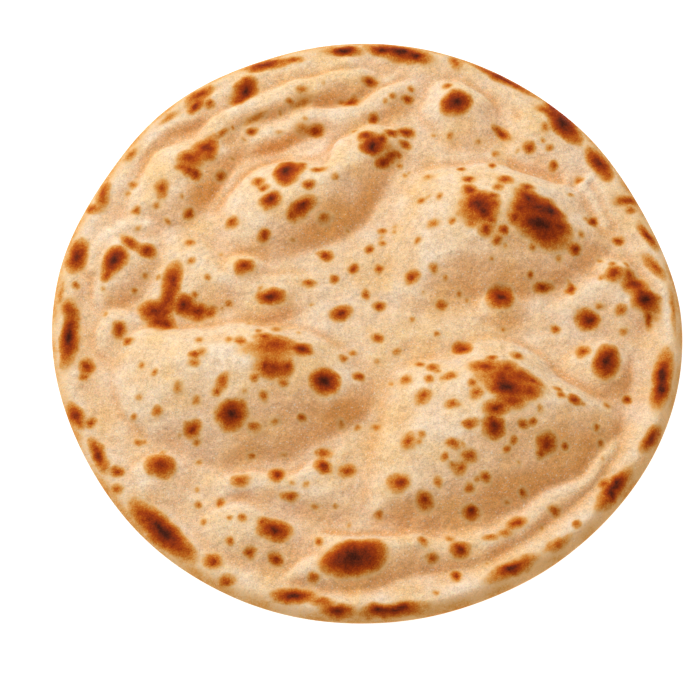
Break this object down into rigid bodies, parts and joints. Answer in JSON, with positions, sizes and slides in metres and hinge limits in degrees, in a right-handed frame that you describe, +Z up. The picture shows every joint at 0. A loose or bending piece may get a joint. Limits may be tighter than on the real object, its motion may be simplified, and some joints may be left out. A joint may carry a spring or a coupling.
{
  "type": "chapati flatbread",
  "caption": "Round, thin flatbread with large puffed blisters, soft folds and a slightly thicker ring of dough at its edge, resting on its flat underside.",
  "frame": {"origin": "middle of the flat underside, at the middle of the bread's box seen from above", "axes": "+Z up, out of the blistered top; +X and +Y lie in the plane of the bread, with the two largest blisters towards +X"},
  "size_m": [0.2004, 0.2016, 0.0184],
  "materials": {
    "baked_dough": null
  },
  "bodies": {
    "root": {"chapati": "baked_dough"}
  },
  "joints": []
}
